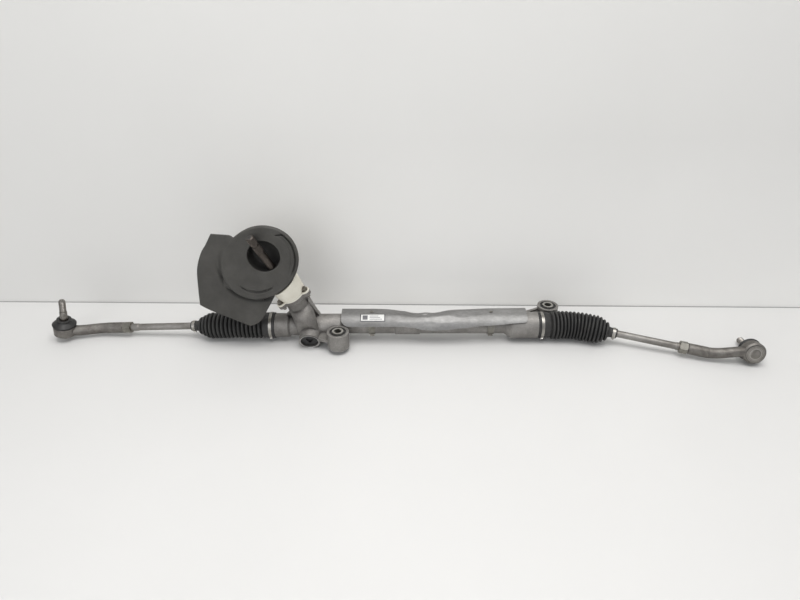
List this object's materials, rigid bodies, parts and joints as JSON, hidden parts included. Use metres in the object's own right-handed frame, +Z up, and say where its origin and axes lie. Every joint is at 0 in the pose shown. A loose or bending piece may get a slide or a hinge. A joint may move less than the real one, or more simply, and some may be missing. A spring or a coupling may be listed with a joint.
{
  "type": "rack and pinion steering gear",
  "caption": "Manual rack-and-pinion steering gear with tie rods, rubber bellows, outer ball joints, dash seal and heat shield.",
  "frame": {"origin": "centre of the left mounting bush's bore, half way up its sleeve", "axes": "+X along the rack to the car-part's right-hand end as seen with the input shaft leaning to the viewer, +Y to the rear, +Z up along the mounting bolts"},
  "size_m": [1.2878, 0.1637, 0.2445],
  "materials": {
    "cast_alloy": "as-cast, dull",
    "cast_alloy_inner": "machined",
    "rack_steel": "ground",
    "black_plastic": "moulded",
    "bush_rubber": "moulded",
    "plated_steel": "zinc plated",
    "shaft_steel": "dark, lightly browned",
    "bearing_steel": "ground",
    "spring_steel": "dark",
    "seal_rubber": "moulded",
    "white_plastic": "moulded",
    "cream_plastic": "moulded, satin",
    "grey_rubber": "moulded, matt",
    "shield_metal": "bright, dented sheet",
    "rod_steel": "dark drawn bar",
    "forged_steel": "forged, lightly browned",
    "cap_steel": "pressed plate",
    "stud_steel": "turned",
    "black_rubber": "moulded",
    "bellows_rubber": "moulded, matt",
    "band_steel": "strip, plated"
  },
  "bodies": {
    "housing": {"rack_housing": "cast_alloy", "rack_bush": "black_plastic", "left_bush_rubber": "bush_rubber", "right_bush_rubber": "bush_rubber", "left_bush_sleeve": "plated_steel", "right_bush_sleeve": "plated_steel", "upper_bearing_outer": "bearing_steel", "bearing_nut": "plated_steel", "needle_shell": "bearing_steel", "needle_rollers": "bearing_steel", "lower_cap": "plated_steel", "oil_seal": "seal_rubber", "yoke": "cast_alloy_inner", "yoke_liner": "white_plastic", "yoke_spring": "spring_steel", "yoke_plug": "black_plastic", "pinion_cover": "cream_plastic", "cover_screws": "plated_steel", "dash_seal": "grey_rubber", "heat_shield": "shield_metal", "shield_brackets": "plated_steel", "shield_screws": "plated_steel", "left_bellows": "bellows_rubber", "right_bellows": "bellows_rubber", "left_large_band": "band_steel", "right_large_band": "band_steel"},
    "rack": {"rack_bar": "rack_steel", "left_inner_socket": "rack_steel", "right_inner_socket": "rack_steel", "left_lock_washer": "plated_steel", "right_lock_washer": "plated_steel"},
    "pinion": {"pinion_shaft": "shaft_steel", "upper_bearing_inner": "bearing_steel", "upper_bearing_balls": "bearing_steel", "shaft_circlip": "spring_steel"},
    "left_seat": {"left_inner_seat": "white_plastic"},
    "left_rod": {"left_tie_rod": "rod_steel", "left_jam_nut": "plated_steel", "left_outer_end": "forged_steel", "left_end_cap": "cap_steel", "left_dust_boot": "black_rubber", "left_small_band": "band_steel"},
    "left_outer_joint": {"left_outer_seat": "white_plastic"},
    "left_stud": {"left_ball_stud": "stud_steel"},
    "right_seat": {"right_inner_seat": "white_plastic"},
    "right_rod": {"right_tie_rod": "rod_steel", "right_jam_nut": "plated_steel", "right_outer_end": "forged_steel", "right_end_cap": "cap_steel", "right_dust_boot": "black_rubber", "right_small_band": "band_steel"},
    "right_outer_joint": {"right_outer_seat": "white_plastic"},
    "right_stud": {"right_ball_stud": "stud_steel"}
  },
  "joints": [
    {"name": "rack_travel", "type": "slide", "parent": "housing", "child": "rack", "axis": [1, 0, 0], "range_m": [-0.064, 0.076], "deforming": ["left_bellows", "right_bellows"]},
    {"name": "pinion_spin", "type": "hinge", "parent": "housing", "child": "pinion", "pos_m": [-0.053, 0.05427, 0.00813], "axis": [-0.3584, -0.2885, 0.8879], "range_deg": [-517.9, 614.91]},
    {"name": "left_inner_pitch", "type": "hinge", "parent": "rack", "child": "left_seat", "pos_m": [-0.203, 0.04, 0.0035], "axis": [0, 1, 0], "range_deg": [-11.9, 18.1], "deforming": ["left_bellows"]},
    {"name": "left_inner_yaw", "type": "hinge", "parent": "left_seat", "child": "left_rod", "pos_m": [-0.203, 0.04, 0.0035], "axis": [0, 0, 1], "range_deg": [-17.6, 22.4], "deforming": ["left_bellows"]},
    {"name": "left_outer_tilt", "type": "hinge", "parent": "left_rod", "child": "left_outer_joint", "pos_m": [-0.5136, 0.038, -0.00028], "axis": [0.0419, 0.9991, 0], "range_deg": [-27, 23], "deforming": ["left_dust_boot"]},
    {"name": "left_stud_spin", "type": "hinge", "parent": "left_outer_joint", "child": "left_stud", "pos_m": [-0.5136, 0.038, -0.00028], "axis": [0.1889, -0.0079, 0.982], "continuous": true},
    {"name": "right_inner_pitch", "type": "hinge", "parent": "rack", "child": "right_seat", "pos_m": [0.439, 0.04, 0.0035], "axis": [0, 1, 0], "range_deg": [-18.2, 11.8], "deforming": ["right_bellows"]},
    {"name": "right_inner_yaw", "type": "hinge", "parent": "right_seat", "child": "right_rod", "pos_m": [0.439, 0.04, 0.0035], "axis": [0, 0, 1], "range_deg": [-2.5, 37.5], "deforming": ["right_bellows"]},
    {"name": "right_outer_tilt", "type": "hinge", "parent": "right_rod", "child": "right_outer_joint", "pos_m": [0.73211, -0.03517, -0.00226], "axis": [0.1294, 0.2311, 0.9643], "range_deg": [-19, 31], "deforming": ["right_dust_boot"]},
    {"name": "right_stud_spin", "type": "hinge", "parent": "right_outer_joint", "child": "right_stud", "pos_m": [0.73211, -0.03517, -0.00226], "axis": [0.1756, 0.9517, -0.2517], "continuous": true}
  ],
  "couplings": [
    {"joint": "pinion_spin", "follows": "rack_travel", "rad_per_m": 141.1}
  ]
}
